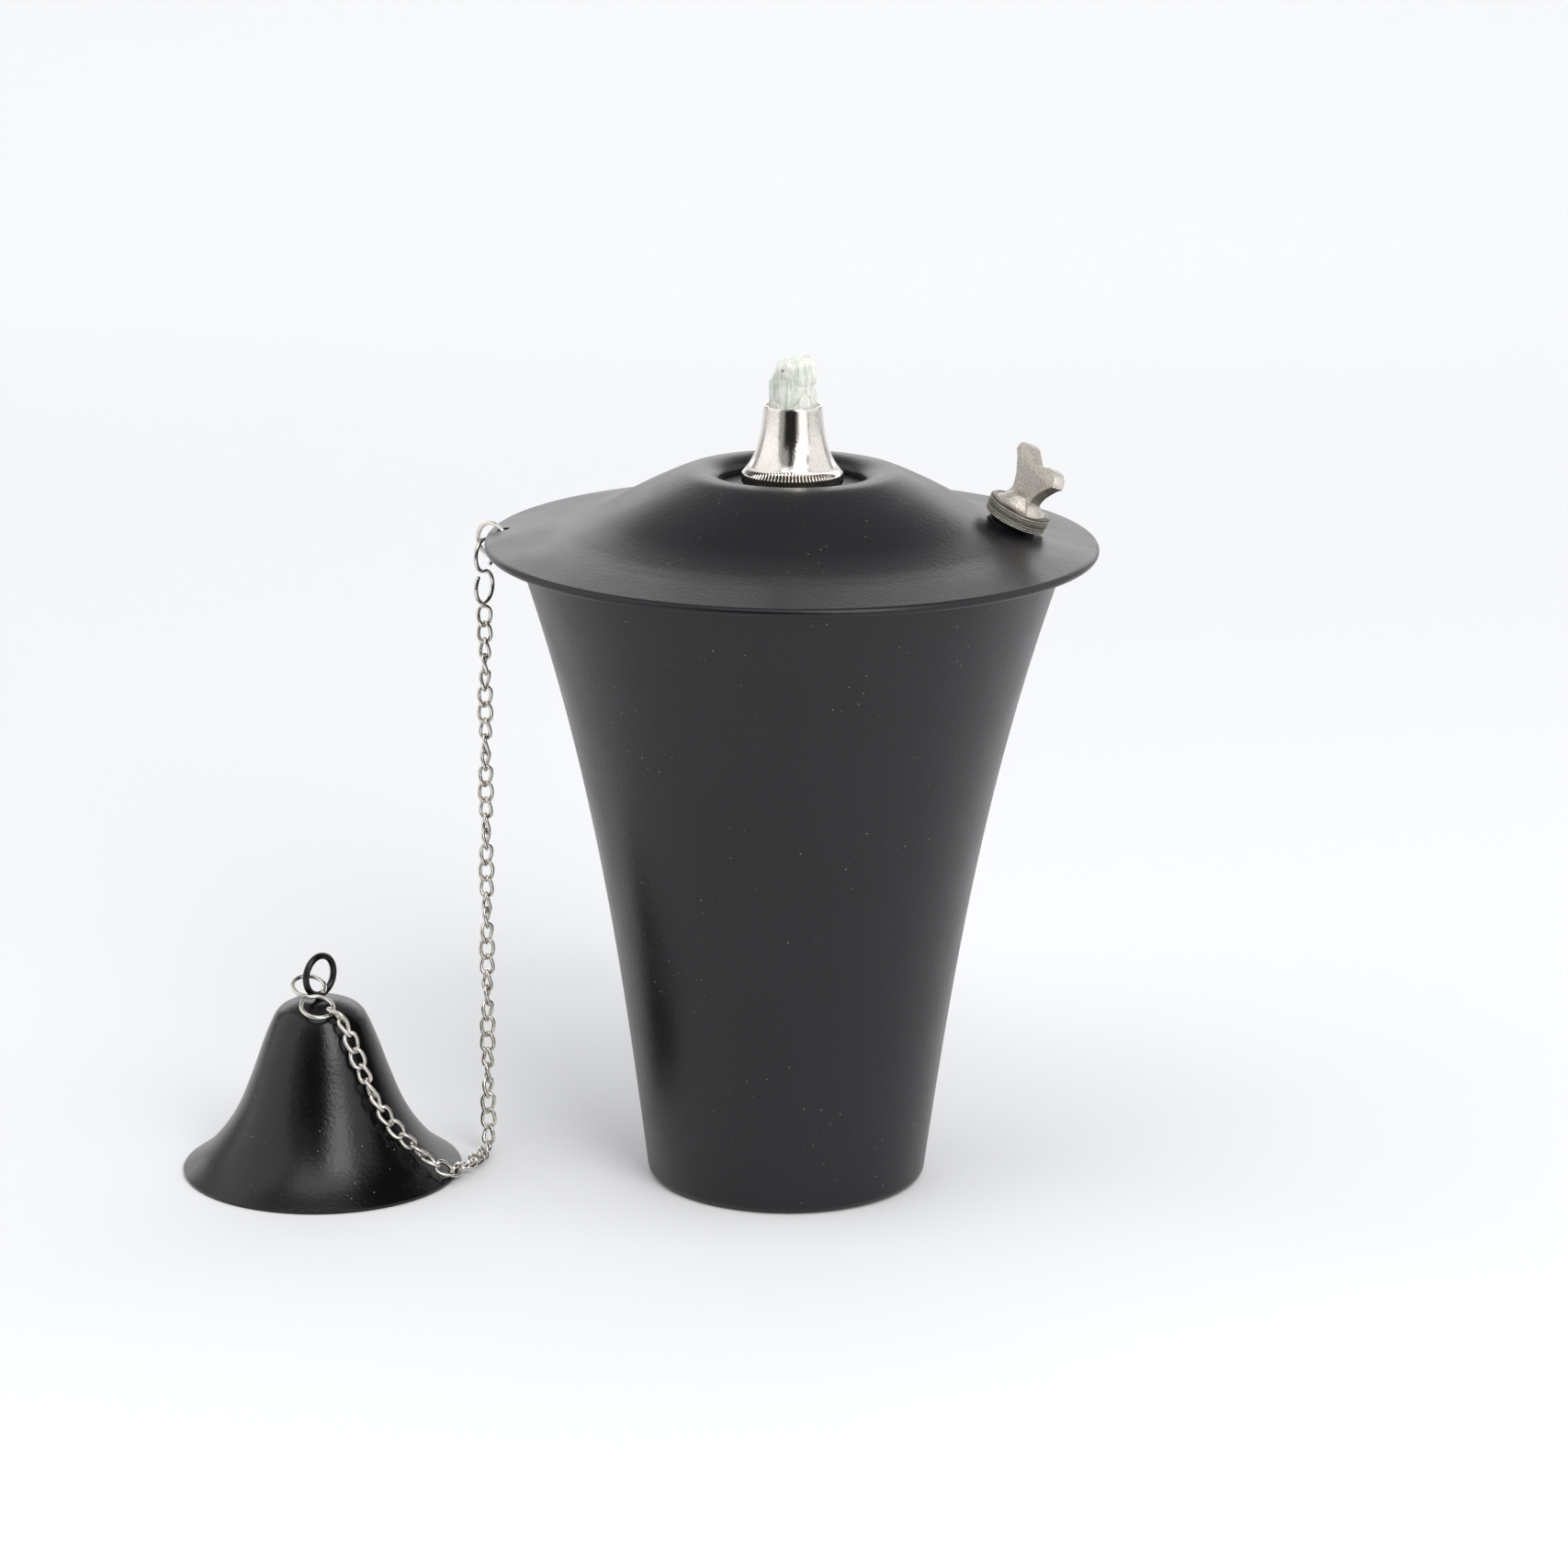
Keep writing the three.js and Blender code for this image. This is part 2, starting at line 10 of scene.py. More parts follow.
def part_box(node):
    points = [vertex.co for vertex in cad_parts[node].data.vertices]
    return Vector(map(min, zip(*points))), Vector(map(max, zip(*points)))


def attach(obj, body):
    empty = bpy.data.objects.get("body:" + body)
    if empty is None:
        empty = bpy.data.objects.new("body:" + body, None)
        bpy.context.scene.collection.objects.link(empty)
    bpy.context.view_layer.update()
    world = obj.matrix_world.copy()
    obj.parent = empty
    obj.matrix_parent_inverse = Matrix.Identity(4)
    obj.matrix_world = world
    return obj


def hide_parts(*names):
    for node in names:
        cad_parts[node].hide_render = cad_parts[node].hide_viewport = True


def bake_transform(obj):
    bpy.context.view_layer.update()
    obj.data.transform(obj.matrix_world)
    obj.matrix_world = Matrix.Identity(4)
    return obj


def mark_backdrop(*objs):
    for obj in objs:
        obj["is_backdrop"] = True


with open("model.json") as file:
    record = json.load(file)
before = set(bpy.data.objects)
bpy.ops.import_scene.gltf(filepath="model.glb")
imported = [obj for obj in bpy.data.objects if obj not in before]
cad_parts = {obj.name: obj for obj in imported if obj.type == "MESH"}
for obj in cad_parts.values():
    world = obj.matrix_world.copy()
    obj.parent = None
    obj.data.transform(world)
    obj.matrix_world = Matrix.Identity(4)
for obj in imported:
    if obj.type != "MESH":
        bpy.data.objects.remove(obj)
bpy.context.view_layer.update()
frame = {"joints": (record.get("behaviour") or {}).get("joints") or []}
scene = bpy.context.scene
MM = 0.001
TURN = 2 * math.pi

# ---- camera: a long lens, standing in front and looking a little down ----
CAMERA_PLACE = (-0.00137, -1.15217, 0.41423)
CAMERA_PITCH = math.radians(90 - 15.227)
CAMERA_ROLL = math.radians(0.522)
CAMERA_LENS = 110.76              # millimetres, on a 36 mm sensor

camera_data = bpy.data.cameras.new("camera")
camera_data.lens = CAMERA_LENS
camera_data.sensor_width = 36
camera_data.clip_end = 20
camera = bpy.data.objects.new("camera", camera_data)
camera.matrix_world = (Matrix.Translation(CAMERA_PLACE)
                       @ Matrix.Rotation(CAMERA_PITCH, 4, "X") @ Matrix.Rotation(CAMERA_ROLL, 4, "Z"))
scene.collection.objects.link(camera)
scene.camera = camera


# ---- mesh helpers; outlines and paths are in millimetres ----
def new_object(name, verts, faces, sharp=40):
    mesh = bpy.data.meshes.new(name)
    mesh.from_pydata([tuple(v) for v in verts], [], [tuple(f) for f in faces])
    work = bmesh.new()
    work.from_mesh(mesh)
    bmesh.ops.remove_doubles(work, verts=work.verts, dist=1e-7)
    bmesh.ops.dissolve_degenerate(work, edges=work.edges, dist=1e-7)
    bmesh.ops.recalc_face_normals(work, faces=work.faces)
    work.to_mesh(mesh)
    work.free()
    finish_shading(mesh, sharp)
    obj = bpy.data.objects.new(name, mesh)
    scene.collection.objects.link(obj)
    return obj


def finish_shading(mesh, sharp):
    mesh.polygons.foreach_set("use_smooth", [True] * len(mesh.polygons))
    mesh.set_sharp_from_angle(angle=math.radians(sharp))
    mesh.update()


def lathe(name, outline, segments=96, place=None, radius_at=None, sharp=40):
    """A closed outline of (radius, height) turned about Z, then put in place."""
    rows = len(outline)
    verts = []
    for i in range(segments):
        a = TURN * i / segments
        for r, z in outline:
            q = radius_at(r, z, i) if radius_at else r
            verts.append((q * math.cos(a) * MM, q * math.sin(a) * MM, z * MM))
    faces = []
    for i in range(segments):
        j = (i + 1) % segments
        for k in range(rows):
            m = (k + 1) % rows
            faces.append((i * rows + k, j * rows + k, j * rows + m, i * rows + m))
    obj = new_object(name, verts, faces, sharp)
    if place is not None:
        obj.data.transform(place)
    return obj


def spline(points, steps):
    """A smooth curve through the points, with a few steps in each span."""
    pts = np.array(points, float)
    out = []
    for i in range(len(pts) - 1):
        p0, p1, p2, p3 = pts[max(i - 1, 0)], pts[i], pts[i + 1], pts[min(i + 2, len(pts) - 1)]
        v0, v1 = (p2 - p0) / 2, (p3 - p1) / 2
        for k in range(steps):
            t = k / steps
            cubic = 2 * p1 - 2 * p2 + v0 + v1
            square = 3 * p2 - 3 * p1 - 2 * v0 - v1
            out.append(cubic * t ** 3 + square * t ** 2 + v0 * t + p1)
    out.append(pts[-1])
    return out


def arc(cx, cz, rx, rz, start, end, steps):
    angles = [math.radians(start + (end - start) * i / steps) for i in range(steps + 1)]
    return [(cx + rx * math.cos(a), cz + rz * math.sin(a)) for a in angles]


def sheet(path, thickness):
    """The outer path, then the same path moved to its left by the thickness."""
    pts = [Vector(p) for p in path]
    inner = []
    for i, p in enumerate(pts):
        along = (pts[min(i + 1, len(pts) - 1)] - pts[max(i - 1, 0)]).normalized()
        inner.append((p.x - along.y * thickness, p.y + along.x * thickness))
    return [tuple(p) for p in pts] + inner[::-1]


def sweep(path, radius, sides=14, closed=False, dome=True):
    """Vertices and faces of a round wire along a path, with domed ends."""
    pts = [Vector(p) for p in path]
    radii = [radius] * len(pts)
    if dome and not closed:
        head, tail = (pts[0] - pts[1]).normalized(), (pts[-1] - pts[-2]).normalized()
        for share in (0.5, 0.87, 0.995):
            pts.insert(0, Vector(path[0]) + head * radius * 0.55 * share)
            pts.append(Vector(path[-1]) + tail * radius * 0.55 * share)
            radii.insert(0, radius * math.sqrt(1 - share ** 2))
            radii.append(radius * math.sqrt(1 - share ** 2))
    count = len(pts)
    tangents = []
    for i in range(count):
        if closed:
            tangents.append((pts[(i + 1) % count] - pts[i - 1]).normalized())
        else:
            tangents.append((pts[min(i + 1, count - 1)] - pts[max(i - 1, 0)]).normalized())
    normal = tangents[0].orthogonal().normalized()
    verts, faces = [], []
    for i in range(count):
        normal = (normal - tangents[i] * normal.dot(tangents[i])).normalized()
        side = tangents[i].cross(normal)
        for k in range(sides):
            a = TURN * k / sides
            verts.append((pts[i] + (normal * math.cos(a) + side * math.sin(a)) * radii[i]) * MM)
    rings = count if closed else count - 1
    for i in range(rings):
        j = (i + 1) % count
        # a closed wire's last ring may have turned against its first, so the nearest vertex is taken
        shift = 0
        if closed and j == 0:
            shift = min(range(sides), key=lambda s: (Vector(verts[s]) - Vector(verts[i * sides])).length)
        for k in range(sides):
            m = (k + 1) % sides
            faces.append((i * sides + k, i * sides + m,
                          j * sides + (m + shift) % sides, j * sides + (k + shift) % sides))
    if not closed:
        faces.append(tuple(range(sides))[::-1])
        faces.append(tuple((count - 1) * sides + k for k in range(sides)))
    return verts, faces


def wire(name, path, radius, sides=14, closed=False):
    verts, faces = sweep(path, radius, sides, closed)
    return new_object(name, verts, faces, 60)


def merged(name, parts, sharp=60):
    verts, faces = [], []
    for part_verts, part_faces in parts:
        start = len(verts)
        verts += list(part_verts)
        faces += [tuple(start + i for i in f) for f in part_faces]
    return new_object(name, verts, faces, sharp)


def carve(obj, cutter, sharp=40):
    """Cuts the cutter out of the object and removes the cutter."""
    cut = obj.modifiers.new("cut", "BOOLEAN")
    cut.operation = "DIFFERENCE"
    cut.solver = "EXACT"
    cut.object = cutter
    bpy.context.view_layer.update()
    evaluated = obj.evaluated_get(bpy.context.evaluated_depsgraph_get())
    mesh = bpy.data.meshes.new_from_object(evaluated)
    obj.modifiers.clear()
    obj.data = mesh
    finish_shading(mesh, sharp)
    bpy.data.objects.remove(cutter)


def rounded(obj, width, segments, angle=40, sharp=35):
    """Rounds the object's edges that are sharper than the angle."""
    bevel = obj.modifiers.new("bevel", "BEVEL")
    bevel.width = width * MM
    bevel.segments = segments
    bevel.limit_method = "ANGLE"
    bevel.angle_limit = math.radians(angle)
    bpy.context.view_layer.update()
    mesh = bpy.data.meshes.new_from_object(obj.evaluated_get(bpy.context.evaluated_depsgraph_get()))
    obj.modifiers.clear()
    obj.data = mesh
    finish_shading(mesh, sharp)


def cylinder(name, radius, bottom, top, segments=48, place=None):
    return lathe(name, [(0, bottom), (radius, bottom), (radius, top), (0, top)], segments, place)


def box_mm(node):
    low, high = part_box(node)
    return low / MM, high / MM


# ---- materials ----
class Look:
    """A material's node tree with a Principled shader and short ways to add nodes."""

    def __init__(self, name):
        self.material = bpy.data.materials.new(name)
        self.material.use_nodes = True
        self.tree = self.material.node_tree
        self.shader = self.tree.nodes["Principled BSDF"]
        self.coord = self.tree.nodes.new("ShaderNodeTexCoord").outputs["Object"]
        self.height = None

    def link(self, source, target):
        self.tree.links.new(source, target)

    def put(self, socket, value):
        if isinstance(value, bpy.types.NodeSocket):
            self.link(value, socket)
        else:
            socket.default_value = value

    def math(self, operation, a, b=0.0, c=0.0, clamp=False):
        node = self.tree.nodes.new("ShaderNodeMath")
        node.operation = operation
        node.use_clamp = clamp
        for socket, value in zip(node.inputs, (a, b, c)):
            self.put(socket, value)
        return node.outputs[0]

    def stretched(self, scale, rotation=(0, 0, 0)):
        node = self.tree.nodes.new("ShaderNodeMapping")
        node.inputs["Scale"].default_value = scale
        node.inputs["Rotation"].default_value = rotation
        self.link(self.coord, node.inputs["Vector"])
        return node.outputs["Vector"]

    def warped(self, scale, amount):
        """The coordinate, pushed about by noise."""
        noise_node = self.tree.nodes.new("ShaderNodeTexNoise")
        noise_node.inputs["Scale"].default_value = scale
        self.link(self.coord, noise_node.inputs["Vector"])
        scaled = self.tree.nodes.new("ShaderNodeVectorMath")
        scaled.operation = "MULTIPLY_ADD"
        self.link(noise_node.outputs["Color"], scaled.inputs[0])
        scaled.inputs[1].default_value = (amount, amount, amount)
        self.link(self.coord, scaled.inputs[2])
        return scaled.outputs["Vector"]

    def along(self, axis):
        node = self.tree.nodes.new("ShaderNodeVectorMath")
        node.operation = "DOT_PRODUCT"
        self.link(self.coord, node.inputs[0])
        node.inputs[1].default_value = axis
        return node.outputs["Value"]

    def noise(self, scale, detail=3.0, roughness=0.55, vector=None, distortion=0.0):
        node = self.tree.nodes.new("ShaderNodeTexNoise")
        node.inputs["Scale"].default_value = scale
        node.inputs["Detail"].default_value = detail
        node.inputs["Roughness"].default_value = roughness
        node.inputs["Distortion"].default_value = distortion
        self.link(vector or self.coord, node.inputs["Vector"])
        return node.outputs["Fac"]

    def cells(self, scale, feature="F1", vector=None):
        node = self.tree.nodes.new("ShaderNodeTexVoronoi")
        node.feature = feature
        node.inputs["Scale"].default_value = scale
        self.link(vector or self.coord, node.inputs["Vector"])
        return node.outputs["Distance"]

    def ramp(self, factor, low, high, to_low=0.0, to_high=1.0):
        node = self.tree.nodes.new("ShaderNodeMapRange")
        node.inputs["From Min"].default_value = low
        node.inputs["From Max"].default_value = high
        node.inputs["To Min"].default_value = to_low
        node.inputs["To Max"].default_value = to_high
        self.link(factor, node.inputs["Value"])
        return node.outputs["Result"]

    def mix(self, factor, a, b):
        node = self.tree.nodes.new("ShaderNodeMix")
        node.data_type = "RGBA"
        self.put(node.inputs["Factor"], factor)
        for socket, value in ((node.inputs[6], a), (node.inputs[7], b)):
            self.put(socket, (*value, 1) if isinstance(value, tuple) else value)
        return node.outputs[2]

    def edges(self, low, high):
        return self.ramp(self.tree.nodes.new("ShaderNodeNewGeometry").outputs["Pointiness"], low, high)

    def bump(self, height, distance, strength=1.0):
        node = self.tree.nodes.new("ShaderNodeBump")
        node.inputs["Distance"].default_value = distance
        node.inputs["Strength"].default_value = strength
        self.link(height, node.inputs["Height"])
        if self.height is not None:
            self.link(self.height, node.inputs["Normal"])
        self.height = node.outputs["Normal"]
        self.link(self.height, self.shader.inputs["Normal"])

    def set(self, **values):
        for name, value in values.items():
            self.put(self.shader.inputs[name.replace("_", " ")], value)


def satin_paint(name, base, lift, roughness):
    look = Look(name)
    cloud = look.noise(14, 4)
    colour = look.mix(look.ramp(cloud, 0.35, 0.65), base, lift)
    worn = look.math("MULTIPLY", look.edges(0.53, 0.60), look.ramp(look.noise(160), 0.5, 0.7), clamp=True)
    colour = look.mix(look.math("MULTIPLY", worn, 0.3), colour, (0.09, 0.09, 0.092))
    dust = look.ramp(look.cells(420), 0.085, 0.05)
    patches = look.ramp(look.noise(45, 2), 0.50, 0.60)
    speck = look.math("MULTIPLY", dust, patches, clamp=True)
    colour = look.mix(look.math("MULTIPLY", speck, 0.7), colour, (0.34, 0.34, 0.34))
    look.put(look.shader.inputs["Base Color"], colour)
    rough = look.math("ADD", look.ramp(look.noise(60, 3), 0.3, 0.7, roughness - 0.03, roughness + 0.04),
                      look.math("MULTIPLY", speck, 0.3))
    look.put(look.shader.inputs["Roughness"], rough)
    look.set(IOR=1.45)
    look.bump(look.noise(900, 2, 0.5), 0.00010, 0.5)
    look.bump(look.noise(1300, 2, 0.5), 0.00006, 0.6)
    return look.material


def bright_nickel(name, roughness, pit_depth, ridges=None, tint=(0.86, 0.82, 0.775)):
    look = Look(name)
    cloud = look.ramp(look.noise(90, 4), 0.35, 0.68)
    shade = tuple(0.86 * c for c in tint)
    colour = look.mix(cloud, tint, shade)
    pits = look.ramp(look.noise(2600, 3, 0.6), 0.42, 0.62)
    colour = look.mix(look.math("MULTIPLY", look.ramp(pits, 0.5, 0.0), 0.25), colour, (0.40, 0.37, 0.33))
    tarnish = look.ramp(look.edges(0.46, 0.40), 0.0, 1.0, 0.0, 0.5)
    colour = look.mix(tarnish, colour, (0.16, 0.14, 0.12))
    look.put(look.shader.inputs["Base Color"], colour)
    look.put(look.shader.inputs["Roughness"],
             look.ramp(look.noise(300, 3), 0.3, 0.7, roughness - 0.03, roughness + 0.04))
    look.set(Metallic=1.0)
    look.bump(pits, pit_depth, 0.6)
    if ridges:
        look.bump(look.noise(1.0, 2, 0.6, look.stretched(ridges)), 0.00002, 0.4)
    return look.material


def cast_metal(name, axis, groove_depth):
    look = Look(name)
    grain = look.noise(2400, 4, 0.65)
    colour = look.mix(look.ramp(grain, 0.38, 0.62), (0.43, 0.395, 0.345), (0.76, 0.71, 0.65))
    stain = look.ramp(look.noise(170, 4), 0.52, 0.70)
    colour = look.mix(look.math("MULTIPLY", stain, 0.35), colour, (0.30, 0.265, 0.22))
    bright = look.ramp(look.edges(0.53, 0.60), 0.0, 1.0, 0.0, 0.6)
    colour = look.mix(bright, colour, (0.80, 0.77, 0.73))
    look.put(look.shader.inputs["Base Color"], colour)
    look.put(look.shader.inputs["Roughness"], look.ramp(look.noise(420, 3), 0.3, 0.7, 0.42, 0.56))
    look.set(Metallic=1.0)
    look.bump(grain, 0.00012, 0.9)
    if groove_depth:
        lines = look.tree.nodes.new("ShaderNodeTexNoise")
        lines.noise_dimensions = "1D"
        lines.inputs["Scale"].default_value = 2100
        lines.inputs["Detail"].default_value = 2
        wobble = look.math("MULTIPLY", look.noise(120, 2), 0.0006)
        look.link(look.math("ADD", look.along(axis), wobble), lines.inputs["W"])
        look.bump(lines.outputs["Fac"], groove_depth, 1.0)
        scored = look.mix(look.ramp(lines.outputs["Fac"], 0.56, 0.44), colour, (0.13, 0.12, 0.10))
        look.put(look.shader.inputs["Base Color"], scored)
    return look.material


# painted shade: a dark, half-metallic finish laid in the gaps between the knurl teeth, standing in for the
# shade that falls there
def painted_gap_shade(name):
    look = Look(name)
    grain = look.noise(1500, 3)
    look.put(look.shader.inputs["Base Color"], look.mix(grain, (0.030, 0.025, 0.018), (0.12, 0.10, 0.075)))
    look.put(look.shader.inputs["Roughness"], look.ramp(look.noise(700), 0.3, 0.7, 0.45, 0.65))
    look.set(Metallic=0.6)
    look.bump(grain, 0.00004, 0.6)
    return look.material


def rubber(name):
    look = Look(name)
    grain = look.noise(1800, 3)
    look.put(look.shader.inputs["Base Color"], look.mix(grain, (0.010, 0.010, 0.010), (0.030, 0.029, 0.028)))
    look.put(look.shader.inputs["Roughness"], look.ramp(look.noise(500), 0.3, 0.7, 0.66, 0.82))
    look.bump(grain, 0.00003, 0.5)
    return look.material


def glass_fibre(name):
    look = Look(name)
    strands = look.noise(1100, 4, 0.65, look.stretched((1.0, 1.0, 0.13), (0.25, -0.35, 0)), 0.8)
    cross = look.noise(700, 3, 0.6, look.stretched((0.2, 0.2, 1.0), (0.5, 0.3, 0)), 0.6)
    colour = look.mix(look.ramp(strands, 0.34, 0.60), (0.62, 0.66, 0.58), (0.92, 0.935, 0.88))
    # painted shade: in patches, the fold lines are darkened towards brown, standing in for the shade in the
    # creases; the same lines are also bumped
    folds = look.cells(190, "DISTANCE_TO_EDGE", look.warped(260, 0.0035))
    fold_shade_patches = look.ramp(look.noise(160, 2), 0.46, 0.56)
    crease = look.math("MULTIPLY", look.ramp(folds, 0.055, 0.02), fold_shade_patches, clamp=True)
    colour = look.mix(look.math("MULTIPLY", crease, 0.3), colour, (0.24, 0.21, 0.14))
    specked = look.ramp(look.noise(140), 0.50, 0.56)
    speck = look.math("MULTIPLY", look.ramp(look.cells(360), 0.16, 0.10), specked, clamp=True)
    colour = look.mix(look.math("MULTIPLY", speck, 0.9), colour, (0.10, 0.06, 0.04))
    stain = look.ramp(look.noise(210, 3), 0.60, 0.74)
    colour = look.mix(look.math("MULTIPLY", stain, 0.3), colour, (0.42, 0.36, 0.27))
    look.put(look.shader.inputs["Base Color"], colour)
    look.put(look.shader.inputs["Roughness"], look.ramp(strands, 0.3, 0.7, 0.40, 0.62))
    look.set(Subsurface_Weight=0.6, Subsurface_Scale=0.004, IOR=1.45)
    look.shader.inputs["Subsurface Radius"].default_value = (1.0, 1.0, 0.9)
    look.bump(strands, 0.00016, 0.8)
    look.bump(cross, 0.00015, 0.7)
    look.bump(look.ramp(folds, 0.0, 0.25), 0.00025, 0.8)
    return look.material


joints = {joint["name"]: joint for joint in frame["joints"]}
filler_place = Vector(joints["filler_turn"]["pos_m"])
filler_axis = Vector(joints["filler_turn"]["axis"]).normalized()
FILLER = (Matrix.Translation(filler_place)
          @ Vector((0, 0, 1)).rotation_difference(filler_axis).to_matrix().to_4x4())

paint = satin_paint("satin_black_paint", (0.0030, 0.0030, 0.0048), (0.0055, 0.0055, 0.0078), 0.32)
bell_paint = satin_paint("semi_gloss_black_paint", (0.0010, 0.0010, 0.0017), (0.0022, 0.0022, 0.0032), 0.25)
burner_nickel = bright_nickel("burner_nickel", 0.06, 0.000012, ridges=(120, 120, 4200), tint=(0.84, 0.79, 0.74))
wire_nickel = bright_nickel("wire_nickel", 0.06, 0.000015, tint=(0.74, 0.70, 0.65))
wing_metal = cast_metal("wing_metal", filler_axis, 0)
disc_metal = cast_metal("disc_metal", filler_axis, 0.0007)
knurl_gap_shade = painted_gap_shade("knurl_gap_shade")
seal = rubber("seal_rubber")
fibre = glass_fibre("wick_fibre")


def dress(obj, material, slot, body, *nodes):
    """Gives a piece its material, lets it ride on its body and shows it in place of its CAD nodes; the slot is
    not used.
    """
    obj.data.materials.clear()
    obj.data.materials.append(material)
    if body:
        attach(obj, body)
    if nodes:
        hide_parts(*nodes)
    return obj


# ---- chain: curb links along one line, from the upper hook to the snuffer's hook ----
LINK_PITCH = 4.05
LINK_HALF_LENGTH = 2.475          # of the wire's middle line
LINK_HALF_WIDTH = 1.6
LINK_WIRE = 0.52
LINK_TURN = math.radians(34.6)    # each link stands turned this far from the last
LINK_TWIST = math.radians(27.7)   # and its own ends are twisted this far each way

low, high = box_mm("upper_s_hook")
upper_hook = (low + high) / 2
CHAIN_GAP = 0.35                  # between the hook and the chain's first link
chain_top = low.z - CHAIN_GAP
bell_low, bell_high = box_mm("snuffer_cap")
bell_centre = (bell_low + bell_high) / 2
bell_radius = (bell_high.x - bell_low.x) / 2
bell_height = bell_high.z
CHAIN_FLOOR = 2.0
chain_drop = [
    (0, 0, chain_top), (0, 0, chain_top * 0.77), (0, 0, chain_top * 0.49), (0, 0, chain_top * 0.25),
    (0, 0, 16), (0.1, -0.1, 9), (0.1, -0.7, CHAIN_FLOOR + 2.6), (-0.1, -2.6, CHAIN_FLOOR + 0.4),
    (-0.7, -5.5, CHAIN_FLOOR), (-1.7, -9.0, CHAIN_FLOOR), (-2.9, -12.2, CHAIN_FLOOR),
]
chain_lean = [
    (1.052, -0.089, 0.002), (1.017, -0.203, 0.016), (0.960, -0.315, 0.031),
    (0.880, -0.370, 0.065), (0.785, -0.378, 0.116), (0.693, -0.387, 0.183), (0.610, -0.401, 0.252),
    (0.527, -0.410, 0.335), (0.458, -0.410, 0.422), (0.395, -0.407, 0.513), (0.341, -0.398, 0.612),
    (0.292, -0.381, 0.710), (0.249, -0.358, 0.801), (0.203, -0.335, 0.877), (0.158, -0.309, 0.926),
    (0.112, -0.282, 0.943), (0.082, -0.266, 0.949),
]
route = [(upper_hook.x + x, upper_hook.y + y, z) for x, y, z in chain_drop]
route += [(bell_centre.x + bell_radius * x, bell_centre.y + bell_radius * y, CHAIN_FLOOR + bell_height * z)
          for x, y, z in chain_lean]
chain_line = np.array(spline(route, 14))
steps = np.linalg.norm(np.diff(chain_line, axis=0), axis=1)
distance = np.concatenate([[0], np.cumsum(steps)])
chain_length = distance[-1]


def on_chain(s):
    return Vector([float(np.interp(s, distance, chain_line[:, k])) for k in range(3)])


def link_path(centre, along, up, side):
    points = []
    for k in range(26):
        a = TURN * k / 26
        c, s = math.cos(a), math.sin(a)
        x = LINK_HALF_LENGTH * math.copysign(abs(c) ** 0.86, c)
        y = LINK_HALF_WIDTH * math.copysign(abs(s) ** 0.80, s)
        twist = -LINK_TWIST * x / LINK_HALF_LENGTH
        points.append(centre + along * x + up * (y * math.cos(twist)) + side * (y * math.sin(twist)))
    return points


link_count = int(chain_length / LINK_PITCH)
parts = []
up = Vector((1, 0.35, 0)).normalized()
for i in range(link_count):
    s = LINK_HALF_LENGTH + i * (chain_length - 2 * LINK_HALF_LENGTH) / (link_count - 1)
    along = (on_chain(s + 1.2) - on_chain(s - 1.2)).normalized()
    up = (up - along * up.dot(along)).normalized()
    side = along.cross(up)
    turn = LINK_TURN * i
    link_up = up * math.cos(turn) + side * math.sin(turn)
    parts.append(sweep(link_path(on_chain(s), along, link_up, along.cross(link_up)), LINK_WIRE, 9, closed=True))
chain = dress(merged("chain", parts), wire_nickel, "nickel_wire", None, "chain_hanging", "chain_resting")
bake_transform(chain)

# ---- tank ----
FLARE_STRAIGHT = 0.62
FLARE_POWER = 2.8
SHEET = 0.9
lid_high = box_mm("lid")[1]
rim_radius = lid_high.x
RIM_REACH = 7.1                   # rim's outside beyond the tank's mouth
mouth_radius = rim_radius - RIM_REACH
BASE_RADIUS = 34.6
BASE_CORNER = 2.6
BASE_TURN_IN = 3.4
FLANGE_WIDTH = 1.6                # tank's turned-out top edge
LID_SHEET = 1.0
SEAM = 0.15                       # weld gap between lid and tank
LID_DEPTH = LID_SHEET + SEAM
BEAD = 1.1
BRIM_SLOPE = 0.185
CROWN_HEIGHT = 17.55
crown_top = lid_high.z
bead_centre = rim_radius - BEAD
bead_height = crown_top - CROWN_HEIGHT - BEAD
brim_top = bead_height + BEAD + BRIM_SLOPE * (bead_centre - mouth_radius)
wall_height = brim_top - LID_DEPTH


def brim_at(r):
    return brim_top + BRIM_SLOPE * (mouth_radius - r)


def wall_at(z):
    t = z / wall_height
    flare = FLARE_STRAIGHT * t + (1 - FLARE_STRAIGHT) * t ** FLARE_POWER
    return BASE_RADIUS + (mouth_radius - BASE_RADIUS) * flare


corner = arc(wall_at(BASE_CORNER) - BASE_CORNER, BASE_CORNER, BASE_CORNER, BASE_CORNER, -90, -4, 12)
wall = [(wall_at(z), z) for z in np.linspace(BASE_CORNER + 1.5, wall_height - 1.2, 70)]
tank_sheet = sheet([(BASE_RADIUS - BASE_TURN_IN, 0)] + corner + wall, SHEET)
inside = tank_sheet[len(corner) + len(wall) + 1:]
inside[0] = (mouth_radius - SHEET, brim_at(mouth_radius - SHEET) - LID_DEPTH)
inside[-1] = (BASE_RADIUS - BASE_TURN_IN, SHEET)
flange_edge = mouth_radius + FLANGE_WIDTH
flange = [(mouth_radius + 0.3, brim_at(mouth_radius) - LID_DEPTH - SHEET),
          (flange_edge, brim_at(flange_edge) - LID_DEPTH - SHEET),
          (flange_edge, brim_at(flange_edge) - LID_DEPTH)]
tank = lathe("tank", tank_sheet[:len(corner) + len(wall) + 1] + flange + inside, 224)
dress(tank, paint, "black_paint", "torch", "tank_body")

